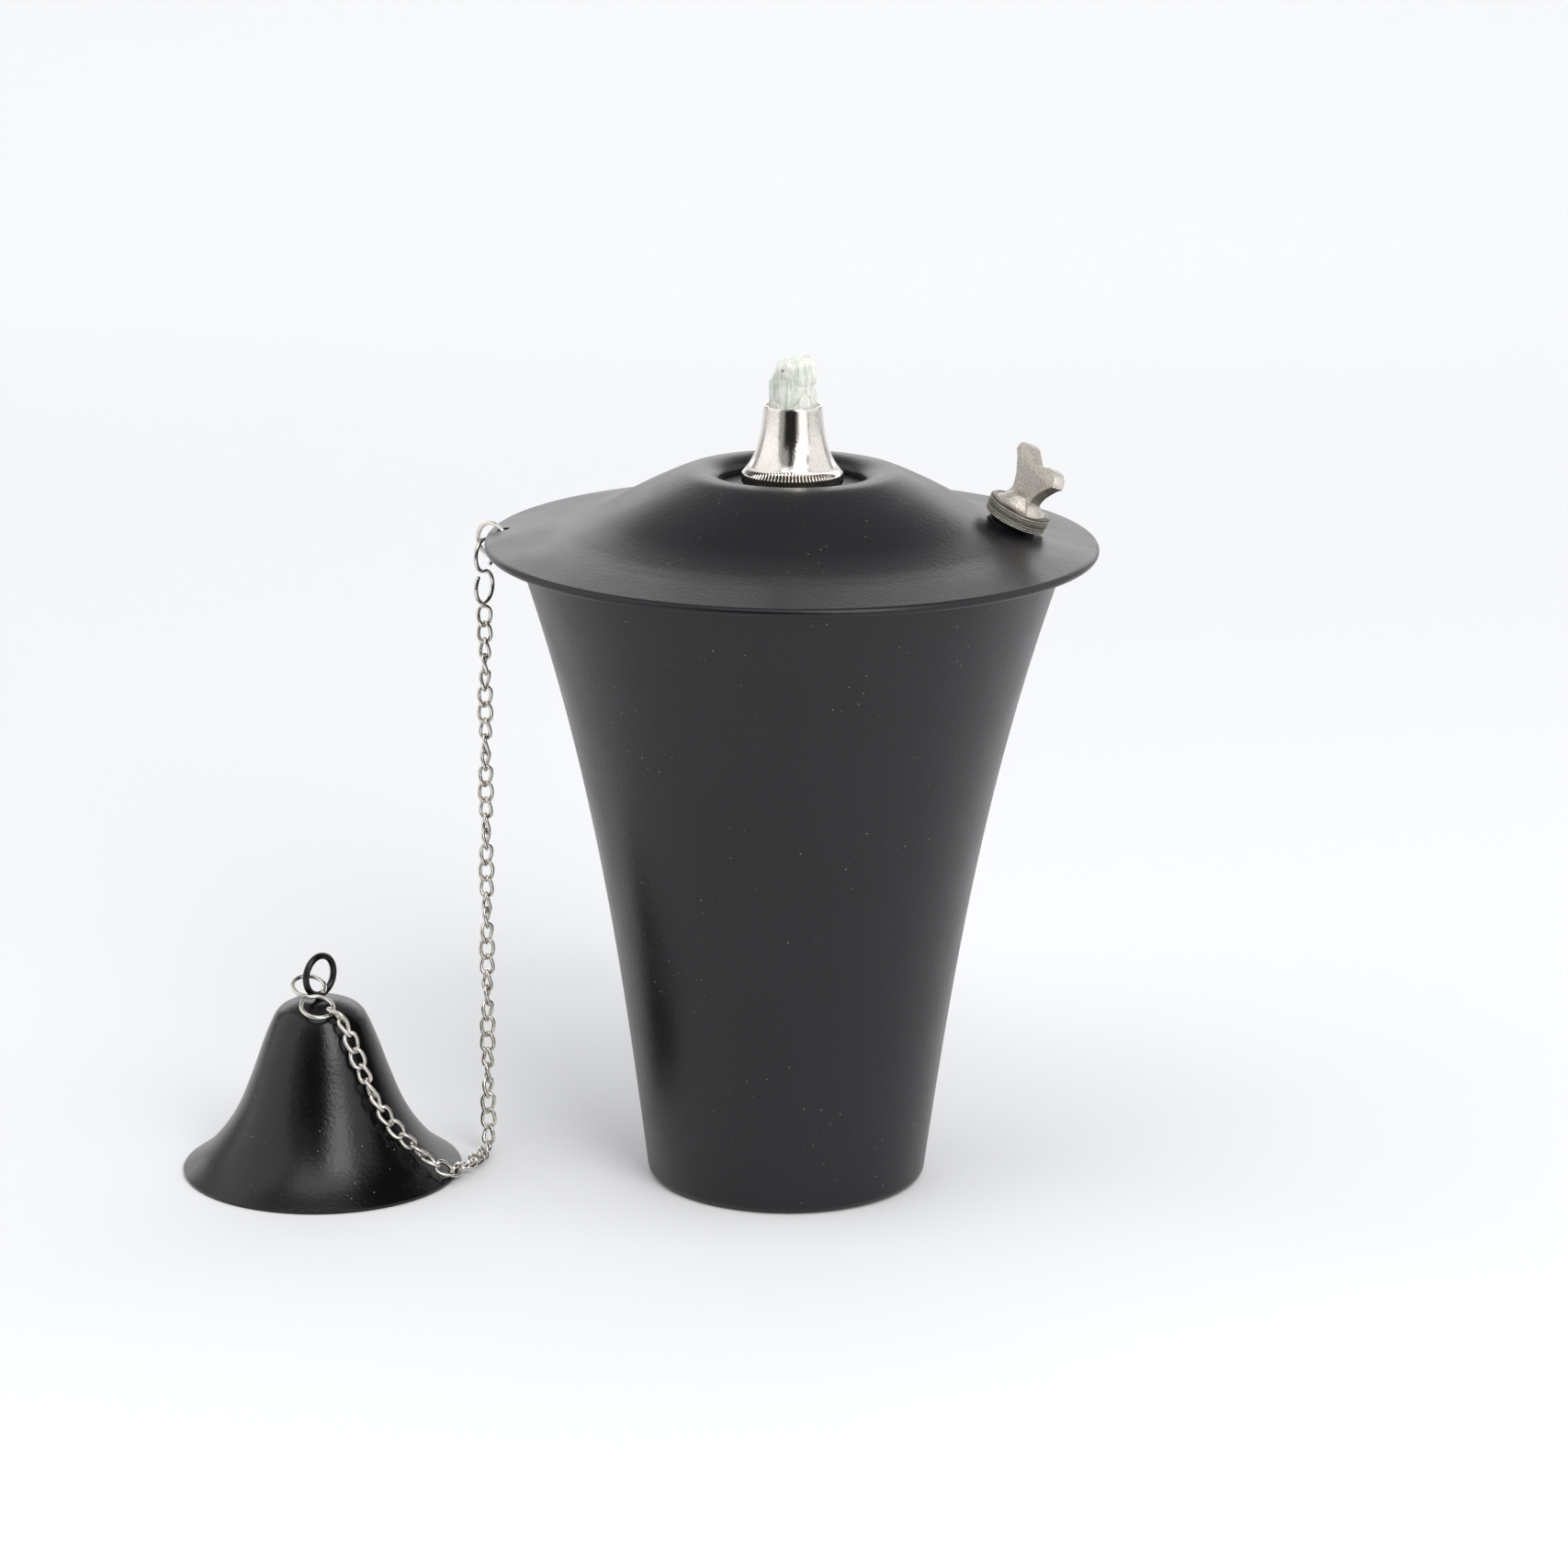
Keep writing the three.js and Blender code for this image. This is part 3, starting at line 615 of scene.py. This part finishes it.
inner = BASE_RADIUS - BASE_TURN_IN - SEAM
outer = wall_at(BASE_CORNER) - BASE_CORNER - 0.1
base_top = box_mm("tank_base")[1].z
base = lathe("tank_bottom", [
    (0, 0), (inner - 0.5, 0), (inner, 0.4), (inner, SHEET + 0.05), (outer, SHEET + 0.05), (outer, base_top),
    (inner - SHEET, base_top), (inner - SHEET, SHEET), (0, SHEET)], 128)
dress(base, paint, "black_paint", "torch", "tank_base")

# ---- lid ----
CROWN_RADIUS = 23.5
HOLE_RADIUS = 17.8
LIP_DEPTH = 3.0
LIP_TAIL = 0.6
BRIM_REACH = 6.9                  # the brim runs in this far from the tank's mouth
BEAD_NECK = 1.6                   # the sheet stops this far inside the bead's centre
brim_inner = mouth_radius - BRIM_REACH
crown_shape = [(0, 0), (0.095, 0.04), (0.293, 0.26), (0.459, 0.475), (0.656, 0.74), (0.845, 0.91), (1, 1)]
crown_drop = brim_at(brim_inner) - crown_top
crown = [(CROWN_RADIUS + (brim_inner - CROWN_RADIUS) * across, crown_top + crown_drop * down)
         for across, down in crown_shape]
lip_bottom = crown_top - LIP_DEPTH
brim_edge = bead_centre - BEAD_NECK
lip = arc(CROWN_RADIUS, lip_bottom, CROWN_RADIUS - HOLE_RADIUS, LIP_DEPTH, 180, 93, 14)
top = [(HOLE_RADIUS, lip_bottom - LIP_TAIL)] + lip + [tuple(p) for p in spline(crown, 9)]
top += [(r, brim_at(r)) for r in np.linspace(brim_inner, brim_edge, 8)[1:]]
bead = arc(bead_centre, bead_height, BEAD, BEAD, 88, -165, 16)
under = sheet(top[::-1], LID_SHEET)[len(top):][::-1]
under[0] = (brim_edge, brim_at(brim_edge) - LID_SHEET)
under[-1] = (HOLE_RADIUS + LID_SHEET, lip_bottom - LIP_TAIL)
lid = lathe("lid_shell", top + bead + under, 256)
BOSS_BORE = 4.55
BOSS_RADIUS = 5.95
BOSS_CLEARANCE = 0.3
carve(lid, cylinder("boss_hole", BOSS_RADIUS + BOSS_CLEARANCE, -12, 6, 64, FILLER))
ring_hole = math.radians(174.5)   # bearing of the hole that the ring hangs in
RING_HOLE_INSET = 3.8
RING_HOLE_RADIUS = 1.6
hole_distance = rim_radius - RING_HOLE_INSET
hole_place = Matrix.Translation(Vector((
    math.cos(ring_hole) * hole_distance, math.sin(ring_hole) * hole_distance, brim_at(hole_distance))) * MM)
carve(lid, cylinder("ring_hole", RING_HOLE_RADIUS, -4, 4, 40, hole_place))
dress(lid, paint, "black_paint", "torch", "lid")

# ---- burner and its fittings ----
WICK_RADIUS = 5.85
burner_low, burner_high = box_mm("burner_cone")
burner_top = burner_high.z
FLANGE_RADIUS = 12.4
FLANGE = 2.5
THREAD_RADIUS = 10.9
BURNER_LENGTH = 19.1              # cone and flange, above the seal
seat = burner_top - BURNER_LENGTH
shoulder = seat + FLANGE
BURNER_BORE = 6.55
rim_outer = BURNER_BORE + 0.55
KNURLS = 84
KNURL_DEPTH = 0.7
waist = [(0.86, 0.06), (0.50, 0.24), (0.25, 0.46), (0.115, 0.68), (0, 1)]
side = spline([(FLANGE_RADIUS - 0.25, shoulder)] + [
    (rim_outer + (FLANGE_RADIUS - 0.25 - rim_outer) * wide, shoulder + (burner_top - 0.25 - shoulder) * tall)
    for wide, tall in waist], 9)
thread = []
turns = 4
for i in range(turns * 4 + 1):
    z = burner_low.z + (seat - 0.6 - burner_low.z) * i / (turns * 4)
    thread.append((THREAD_RADIUS - (0.55 if i % 4 in (0, 3) else 0.0), z))
cone_outline = thread + [(THREAD_RADIUS - 0.5, seat), (FLANGE_RADIUS - 0.3, seat), (FLANGE_RADIUS, seat + 0.25),
                         (FLANGE_RADIUS, shoulder - 0.15)]
cone_outline += [tuple(p) for p in side]
cone_outline += [(rim_outer - 0.12, burner_top), (BURNER_BORE + 0.1, burner_top),
                 (BURNER_BORE, burner_top - 0.2), (BURNER_BORE, burner_low.z)]
TEETH_TOP = shoulder + 1.7
TEETH_INNER = 9.5                 # the teeth run out on the cone, this far from the axis


def knurled(r, z, i):
    if r < TEETH_INNER or not seat < z < TEETH_TOP:
        return r
    fade = min((TEETH_TOP - z) / 1.2, 1.0)
    return r - KNURL_DEPTH * fade * (0.0, 0.35, 1.0, 1.0, 0.35)[i % 5]


cone = lathe("burner", cone_outline, KNURLS * 5, radius_at=knurled, sharp=30)
dress(cone, burner_nickel, "burner_nickel", "burner", "burner_cone")
cone.data.materials.append(knurl_gap_shade)
# painted shade: the faces down in each gap between the knurl teeth take the dark second material
for face in cone.data.polygons:
    x, y, z = face.center / MM
    step = math.atan2(y, x) / TURN * KNURLS * 5 % 5
    if seat + 0.1 < z < TEETH_TOP - 0.35 and math.hypot(x, y) > TEETH_INNER and 1 < step < 3:
        face.material_index = 1

low, high = box_mm("wick_tube")
tube = lathe("burner_tube", [(6.0, low.z), (6.45, low.z), (6.45, high.z - 0.1), (6.35, high.z), (6.1, high.z),
                             (6.0, high.z - 0.1)], 72)
dress(tube, burner_nickel, "burner_nickel", "burner", "wick_tube")

low, high = box_mm("burner_collar")
COLLAR_BORE = 11.05
collar_plate = HOLE_RADIUS + LID_SHEET + 1
collar = lathe("collar", [
    (COLLAR_BORE, high.z), (collar_plate - 0.3, high.z), (collar_plate, high.z - 0.3),
    (collar_plate, high.z - 1.8),
    (COLLAR_BORE + 2.6, high.z - 1.8), (COLLAR_BORE + 1.95, high.z - 2.1), (COLLAR_BORE + 1.8, high.z - 2.8),
    (COLLAR_BORE + 1.8, low.z + 0.3), (COLLAR_BORE + 1.5, low.z), (COLLAR_BORE, low.z)], 96)
dress(collar, paint, "black_paint", "torch", "burner_collar")

low, high = box_mm("burner_gasket")
gasket = lathe("burner_seal_ring", [
    (COLLAR_BORE, low.z), (high.x - 0.15, low.z), (high.x, low.z + 0.15), (high.x, high.z - 0.15),
    (high.x - 0.15, high.z), (COLLAR_BORE, high.z)], 96)
dress(gasket, seal, "seal_rubber", "burner_seal", "burner_gasket")

# ---- wick: a folded sleeve, high on its right and lower on its left shoulder ----
low, high = box_mm("wick")
wick_foot, wick_top = low.z, high.z
RINGS = 24
ROUND = 120
# the end's outline from left to right: share of the radius, and drop below the highest point
wick_slope = [(-1, 5.2), (-0.86, 3.9), (-0.74, 2.7), (-0.62, 1.1), (-0.3, 0.5), (0.3, 0.05),
              (0.75, 0.0), (0.93, 0.8), (1, 2.2)]


def wick_drop(x, y):
    """How far the wick's end lies below its highest point."""
    flat = np.interp(x / WICK_RADIUS, *zip(*wick_slope))
    fold = 0.45 * math.sin(2.3 * x / WICK_RADIUS + 1.9 * y / WICK_RADIUS) ** 2
    return float(flat) + fold + 0.5 * (noise.noise(Vector((x, y, 3)) * 0.55) + 0.5)


def wick_radius(a, z):
    share = min(max((z - burner_top + 1.0) / 4.0, 0), 1)
    crease = 0.22 * math.sin(3 * a + 0.7) + 0.16 * math.sin(7 * a + 0.22 * z)
    rough = 0.55 * noise.noise(Vector((math.cos(a) * 2.0, math.sin(a) * 2.0, z * 0.28)))
    return min(WICK_RADIUS - share * (0.36 + crease + rough), WICK_RADIUS + 0.08)


verts, faces = [], []
levels = [wick_foot, wick_foot + 60, wick_foot + 120, burner_top - 12]
levels += list(np.linspace(burner_top - 6, burner_top + 5, 14))
for z in levels:
    for k in range(ROUND):
        a = TURN * k / ROUND
        r = wick_radius(a, z)
        verts.append((r * math.cos(a), r * math.sin(a), z))
start_z = levels[-1]
for ring in range(1, 9):
    for k in range(ROUND):
        a = TURN * k / ROUND
        edge = wick_radius(a, start_z)
        end = wick_top - wick_drop(edge * math.cos(a), edge * math.sin(a)) - 0.7
        z = start_z + (end - start_z) * ring / 8
        r = wick_radius(a, z)
        verts.append((r * math.cos(a), r * math.sin(a), z))
for ring in range(1, RINGS + 1):
    share = 1 - ring / RINGS
    for k in range(ROUND):
        a = TURN * k / ROUND
        r = wick_radius(a, start_z + 4) * share
        x, y = r * math.cos(a), r * math.sin(a)
        z = wick_top - wick_drop(x, y) - 0.7 * share ** 5
        verts.append((x, y, z))
rows = len(verts) // ROUND
for i in range(rows - 1):
    for k in range(ROUND):
        m = (k + 1) % ROUND
        faces.append((i * ROUND + k, i * ROUND + m, (i + 1) * ROUND + m, (i + 1) * ROUND + k))
faces.append(tuple(range(ROUND))[::-1])
wick = new_object("wick_sleeve", [Vector(v) * MM for v in verts], faces, 70)
dress(wick, fibre, "wick_fibre", "wick_body", "wick")

# ---- filler plug ----
DISC_RADIUS = 7.9
DISC = 4.1
WING_REACH = 11
WING_HEIGHT = 17.2
WING_THICKNESS = 3.0
WING_TURN = math.radians(-66)
PLUG_THREAD = 4.4
boss = lathe("filler_neck", [
    (BOSS_BORE, -0.9), (BOSS_RADIUS - 0.2, -0.9), (BOSS_RADIUS, -1.1), (BOSS_RADIUS, -8.2),
    (BOSS_RADIUS - 0.2, -8.4), (BOSS_BORE, -8.4)], 72, FILLER)
dress(boss, paint, "black_paint", "torch", "filler_boss")
filler_ring = lathe("filler_seal_ring", [
    (BOSS_BORE, -0.6), (5.7, -0.6), (5.8, -0.5), (5.8, -0.1), (5.7, 0), (BOSS_BORE, 0)], 72, FILLER)
dress(filler_ring, seal, "seal_rubber", "filler_seal", "filler_gasket")

screw_thread = [(PLUG_THREAD - (0.45 if i % 4 in (0, 3) else 0), -8 + 7.4 * i / 20) for i in range(21)]
disc_edge = [(DISC_RADIUS - 0.35, 0.3), (DISC_RADIUS, 0.55)]
disc_edge += [(DISC_RADIUS - (0.14 if i % 2 else 0.0), 0.55 + 2.9 * i / 12) for i in range(1, 12)]
disc_edge += [(DISC_RADIUS, DISC - 0.4), (DISC_RADIUS - 0.45, DISC)]
hub = spline([(6.4, DISC), (5.5, DISC + 0.4), (4.4, DISC + 1.6), (3.4, DISC + 2.7), (2.6, DISC + 3.1)], 5)
plug_outline = ([(0, -8)] + screw_thread + [(PLUG_THREAD - 0.4, -0.3), (PLUG_THREAD - 0.4, 0.3)] + disc_edge
                + [tuple(p) for p in hub] + [(0, DISC + 3.15)])
plug = lathe("plug", plug_outline, 120, sharp=45)
# half of the wing's outline, from the disc up its outside and in to the notch
half = spline([(7.2, DISC - 0.8), (6.6, DISC + 0.3), (5.6, DISC + 1.4), (5.2, 7.0),
               (6.0, 9.2), (7.6, 11.2), (9.4, 13.1)], 5)
half = [tuple(p) for p in half] + [(WING_REACH, WING_HEIGHT - 3), (WING_REACH - 0.1, WING_HEIGHT - 1.9),
                                   (WING_REACH - 0.9, WING_HEIGHT - 0.75), (WING_REACH - 2.6, WING_HEIGHT),
                                   (6.4, WING_HEIGHT), (5.4, WING_HEIGHT - 0.25), (1.6, WING_HEIGHT - 2.2)]
outline = half + [(-x, z) for x, z in half[::-1]]
count = len(outline)
verts = [Vector((x, -WING_THICKNESS / 2, z)) * MM for x, z in outline]
verts += [Vector((x, WING_THICKNESS / 2, z)) * MM for x, z in outline]
faces = [tuple(range(count)), tuple(range(2 * count - 1, count - 1, -1))]
faces += [(i, (i + 1) % count, count + (i + 1) % count, count + i) for i in range(count)]
wing = new_object("wing", verts, faces, 30)
rounded(wing, 0.28, 3, 50)
wing.data.transform(Matrix.Rotation(WING_TURN, 4, "Z"))
bpy.ops.object.select_all(action="DESELECT")
wing.select_set(True)
plug.select_set(True)
bpy.context.view_layer.objects.active = plug
bpy.ops.object.join()
finish_shading(plug.data, 35)
plug.data.transform(FILLER)
dress(plug, wing_metal, "cast_wing", "filler", "wing_screw")
plug.data.materials.append(disc_metal)
to_local = FILLER.inverted()
for face in plug.data.polygons:
    local = to_local @ face.center
    if 0 < local.z < (DISC + 0.1) * MM and local.xy.length > 6.3 * MM:
        face.material_index = 1

# ---- ring and S-hooks ----
RING_RADIUS = 4.2
RING_BEARING = math.radians(145)
HOOK_BEARING = math.radians(63)
WIRE = 0.55
HOOK_LOOP = 4.0
HOOK_SWEEP = 316                  # degrees of loop at each end of a hook
low, high = box_mm("rim_ring")
ring_centre = (low + high) / 2
lean = Vector((math.cos(RING_BEARING), math.sin(RING_BEARING), 0))
ring_path = []
for i in range(73):
    a = math.radians(200 + 352 * i / 72)
    ring_path.append(ring_centre + lean * (RING_RADIUS * math.cos(a))
                     + Vector((0, 0, RING_RADIUS * math.sin(a))))
dress(wire("hanging_ring", ring_path, WIRE), wire_nickel, "nickel_wire", "torch", "rim_ring")


def s_hook(name, centre, across, along):
    """Two loops round a centre, bent opposite ways in the plane of across and along."""
    half_turn = 44
    points = []
    for i in range(half_turn + 1):
        a = math.radians(270 - HOOK_SWEEP + HOOK_SWEEP * i / half_turn)
        points.append((HOOK_LOOP * math.cos(a), HOOK_LOOP + HOOK_LOOP * math.sin(a)))
    for i in range(1, half_turn + 1):
        a = math.radians(90 - HOOK_SWEEP * i / half_turn)
        points.append((HOOK_LOOP * math.cos(a), -HOOK_LOOP + HOOK_LOOP * math.sin(a)))
    return wire(name, [centre + across * u + along * v for u, v in points], WIRE)


hook_facing = Vector((math.cos(HOOK_BEARING), math.sin(HOOK_BEARING), 0))
dress(s_hook("top_hook", upper_hook, hook_facing, Vector((0, 0, 1))),
      wire_nickel, "nickel_wire", "torch", "upper_s_hook")
low, high = box_mm("lower_s_hook")
hook_along = Vector((-2.5, 6.3, 3.0)).normalized()
hook_across = Vector((hook_along.y, -hook_along.x, 0)).normalized()
dress(s_hook("snuffer_hook", (low + high) / 2, hook_across, hook_along),
      wire_nickel, "nickel_wire", "snuffer", "lower_s_hook")

# ---- snuffer ----
WASHER_RADIUS = 3.6
EYE_HOLE = 1.45
BELL_SHEET = 1.0
BELL_LIP = 0.9                    # height of the rounded bottom edge
SNUFFER = Matrix.Translation(Vector((bell_centre.x, bell_centre.y, 0)) * MM)
bell_shape = [(0.837, 0.116), (0.699, 0.241), (0.590, 0.384), (0.493, 0.571), (0.413, 0.748),
              (0.341, 0.884), (0.292, 0.940), (0.235, 0.968), (0.166, 0.989)]
flank = spline([(bell_radius, BELL_LIP)]
               + [(bell_radius * wide, bell_height * tall) for wide, tall in bell_shape]
               + [(WASHER_RADIUS + 0.6, bell_height - 0.1), (EYE_HOLE, bell_height)], 8)
bell_sheet = sheet([tuple(p) for p in flank], BELL_SHEET)
bell_sheet[len(flank)] = (EYE_HOLE, bell_height - BELL_SHEET)
bell_sheet[-1] = (bell_radius - 0.75, 0.28)
bell_sheet += [(bell_radius - 0.55, 0.0), (bell_radius - 0.25, 0.05), (bell_radius - 0.03, 0.4)]
dress(lathe("bell", bell_sheet, 224, SNUFFER), bell_paint, "black_paint", "snuffer", "snuffer_cap")

EYE_RADIUS = 4.95
EYE_WIRE = 0.85
EYE_TURN = math.radians(52)
SHANK = 1.2
low, high = box_mm("snuffer_eye")
eye_z = high.z - EYE_RADIUS - EYE_WIRE
eye_dir = Vector((math.cos(EYE_TURN), math.sin(EYE_TURN), 0))
eye_path = []
for i in range(81):
    a = math.radians(-95 + 357 * i / 80)
    eye_path.append(Vector((0, 0, eye_z)) + eye_dir * (EYE_RADIUS * math.cos(a))
                    + Vector((0, 0, EYE_RADIUS * math.sin(a))))
shank_path = [Vector((0, 0, z)) for z in np.linspace(low.z, bell_height + 1.2, 12)]
eye = merged("eye", [sweep(eye_path, EYE_WIRE, 16), sweep(shank_path, SHANK, 16, dome=False)])
eye.data.transform(SNUFFER)
dress(eye, bell_paint, "black_paint", "snuffer", "snuffer_eye")
low, high = box_mm("eye_washer")
washer = lathe("washer", [(EYE_HOLE, low.z), (WASHER_RADIUS - 0.1, low.z), (WASHER_RADIUS, low.z + 0.1),
                          (WASHER_RADIUS, high.z - 0.1), (WASHER_RADIUS - 0.1, high.z),
                          (EYE_HOLE, high.z)], 64, SNUFFER)
dress(washer, wire_nickel, "nickel_wire", "snuffer", "eye_washer")
low, high = box_mm("eye_nut")
NUT_RADIUS = 2.9
NUT_STEPS = 48                    # round the nut; every eighth is a corner
SIXTH = math.pi / 3
verts, faces = [], []
for z in (low.z, high.z):
    for i in range(NUT_STEPS):
        a = TURN * i / NUT_STEPS
        corner = (a + SIXTH / 2) % SIXTH - SIXTH / 2
        across = NUT_RADIUS * math.cos(SIXTH / 2) / math.cos(SIXTH / 2 - abs(corner))
        verts.append((across * math.cos(a), across * math.sin(a), z))
for z in (low.z, high.z):
    for i in range(NUT_STEPS):
        a = TURN * i / NUT_STEPS
        verts.append(((SHANK + 0.1) * math.cos(a), (SHANK + 0.1) * math.sin(a), z))
n = NUT_STEPS
for i in range(n):
    j = (i + 1) % n
    faces += [(i, j, n + j, n + i), (2 * n + j, 2 * n + i, 3 * n + i, 3 * n + j),
              (n + i, n + j, 3 * n + j, 3 * n + i), (j, i, 2 * n + i, 2 * n + j)]
nut = new_object("nut", [Vector(v) * MM for v in verts], faces, 30)
rounded(nut, 0.15, 2, 50)
nut.data.transform(SNUFFER)
dress(nut, wire_nickel, "nickel_wire", "snuffer", "eye_nut")


# ---- stage: pale sweep, light tent and lamps ----
def plain(name, colour, roughness=0.9):
    look = Look(name)
    tone = look.mix(look.noise(1.5, 2), tuple(0.985 * c for c in colour), colour)
    look.put(look.shader.inputs["Base Color"], tone)
    look.set(Roughness=roughness)
    return look.material


def stage_plane(name, material, corners):
    mesh = bpy.data.meshes.new(name)
    mesh.from_pydata(corners, [], [(0, 1, 2, 3)])
    obj = bpy.data.objects.new(name, mesh)
    scene.collection.objects.link(obj)
    mesh.materials.append(material)
    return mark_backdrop(obj)


pale = plain("pale_sweep", (0.92, 0.925, 0.935))
profile = [(-0.60, 0.0)] + [(y, 0.0) for y in np.linspace(-0.4, 1.3, 10)]
profile += [(1.3 + 0.7 * math.sin(a), 0.7 - 0.7 * math.cos(a)) for a in np.linspace(0.1, math.pi / 2, 14)]
profile += [(2.0, 0.9)]
verts = []
for y, z in profile:
    verts += [(-2.6, y, z), (2.6, y, z)]
faces = [(2 * i, 2 * i + 1, 2 * i + 3, 2 * i + 2) for i in range(len(profile) - 1)]
mesh = bpy.data.meshes.new("sweep")
mesh.from_pydata(verts, [], faces)
mesh.polygons.foreach_set("use_smooth", [True] * len(mesh.polygons))
sweep_obj = bpy.data.objects.new("sweep", mesh)
scene.collection.objects.link(sweep_obj)
mesh.materials.append(pale)

dark = plain("dark_slit", (0.012, 0.012, 0.012))
# a dark gap in the tent, which the nickel and the paint mirror as dark bands
stage_plane("slit", dark, [(-0.80, -1.30, 0.0), (0.33, -1.30, 0.0),
                           (0.33, -1.30, 0.7), (-0.80, -1.30, 0.7)])
stage_plane("slit_upper", dark, [(-0.32, -1.30, 0.7), (0.05, -1.30, 0.7),
                                 (0.05, -1.30, 2.5), (-0.32, -1.30, 2.5)])
stage_plane("slit_floor", dark, [(-0.40, -0.601, -0.001), (0.16, -0.601, -0.001),
                                 (0.33, -1.30, -0.001), (-0.80, -1.30, -0.001)])


def lamp(name, place, aim, width, height, power):
    """A rectangular softbox, in metres and watts."""
    data = bpy.data.lights.new(name, "AREA")
    data.shape = "RECTANGLE"
    data.size = width
    data.size_y = height
    data.energy = power
    obj = bpy.data.objects.new(name, data)
    obj.location = place
    obj.rotation_euler = (Vector(aim) - Vector(place)).to_track_quat("-Z", "Y").to_euler()
    scene.collection.objects.link(obj)


lamp("left_softbox", (-1.55, -0.15, 0.95), (0, 0, 0.1), 2.4, 2.0, 12.5)
lamp("right_softbox", (1.60, 0.05, 0.90), (0, 0, 0.1), 2.2, 1.8, 9)
lamp("key_softbox", (0.60, -1.20, 1.15), (0, 0, 0.1), 0.75, 1.3, 12)
lamp("low_panel", (0.90, -1.12, 0.42), (0, 0, 0.1), 0.9, 0.75, 2.4)
lamp("front_softbox", (0.0, -0.75, 2.0), (0, 0, 0), 1.6, 1.1, 9)
lamp("back_softbox", (0.0, 1.85, 0.78), (0, 0, 0.3), 3.2, 0.9, 11)

world = bpy.data.worlds.new("tent")
world.use_nodes = True
world.node_tree.nodes["Background"].inputs["Color"].default_value = (0.97, 0.98, 1.0, 1)
world.node_tree.nodes["Background"].inputs["Strength"].default_value = 0.42
scene.world = world
scene.view_settings.view_transform = "Standard"
